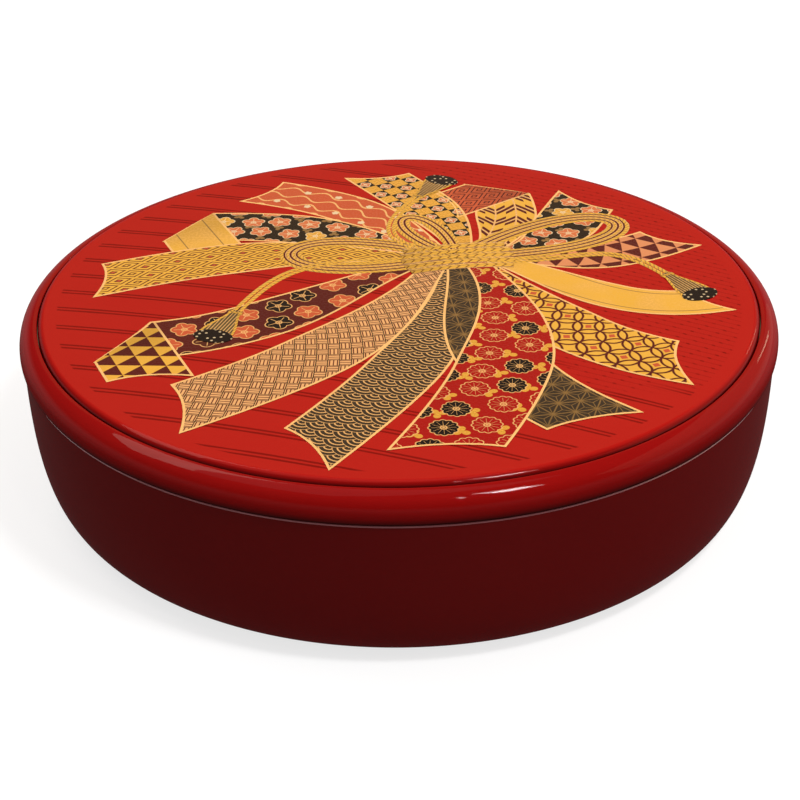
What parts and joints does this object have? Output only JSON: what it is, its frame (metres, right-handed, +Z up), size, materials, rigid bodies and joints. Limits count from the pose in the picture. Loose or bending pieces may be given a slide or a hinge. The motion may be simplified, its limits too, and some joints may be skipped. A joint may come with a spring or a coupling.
{
  "type": "lacquer candy box",
  "caption": "Low round lacquered wooden candy box with a drop-on lid: flat raised panel in a half-round rim, curved wall on a foot ring, and fitted dishes inside.",
  "frame": {"origin": "centre of the foot ring's underside, where the box stands", "axes": "+Z up through the middle of the lid; -Y towards the viewer; +X to the viewer's right"},
  "size_m": [0.266, 0.266, 0.0669],
  "materials": {
    "red_lacquer": "vermilion lacquer on wood, polished to a high gloss",
    "deep_red_lacquer": "dark maroon lacquer on wood, polished to a high gloss",
    "black_lacquer": "black lacquer on wood, glossy",
    "gold_makie": "gold powder sprinkled into wet lacquer and burnished, for the figure on the lid"
  },
  "bodies": {
    "box": {"foot_ring": "deep_red_lacquer", "base_board": "black_lacquer", "body_wall": "deep_red_lacquer", "lip_ring": "black_lacquer"},
    "lid": {"lid_rim": "red_lacquer", "ledge_ring": "black_lacquer", "lid_panel": "red_lacquer"},
    "centre_dish": {"centre_dish": "black_lacquer"},
    "fan_dish_1": {"fan_dish_1": "black_lacquer"},
    "fan_dish_2": {"fan_dish_2": "black_lacquer"},
    "fan_dish_3": {"fan_dish_3": "black_lacquer"},
    "fan_dish_4": {"fan_dish_4": "black_lacquer"},
    "fan_dish_5": {"fan_dish_5": "black_lacquer"}
  },
  "joints": [
    {"name": "lid_lift", "type": "slide", "parent": "box", "child": "lid", "axis": [0, 0, 1], "range_m": [0, 0.15]},
    {"name": "centre_dish_lift", "type": "slide", "parent": "box", "child": "centre_dish", "axis": [0, 0, 1], "range_m": [0, 0.01]},
    {"name": "fan_dish_1_lift", "type": "slide", "parent": "box", "child": "fan_dish_1", "axis": [0, 0, 1], "range_m": [0, 0.01]},
    {"name": "fan_dish_2_lift", "type": "slide", "parent": "box", "child": "fan_dish_2", "axis": [0, 0, 1], "range_m": [0, 0.01]},
    {"name": "fan_dish_3_lift", "type": "slide", "parent": "box", "child": "fan_dish_3", "axis": [0, 0, 1], "range_m": [0, 0.01]},
    {"name": "fan_dish_4_lift", "type": "slide", "parent": "box", "child": "fan_dish_4", "axis": [0, 0, 1], "range_m": [0, 0.01]},
    {"name": "fan_dish_5_lift", "type": "slide", "parent": "box", "child": "fan_dish_5", "axis": [0, 0, 1], "range_m": [0, 0.01]}
  ]
}
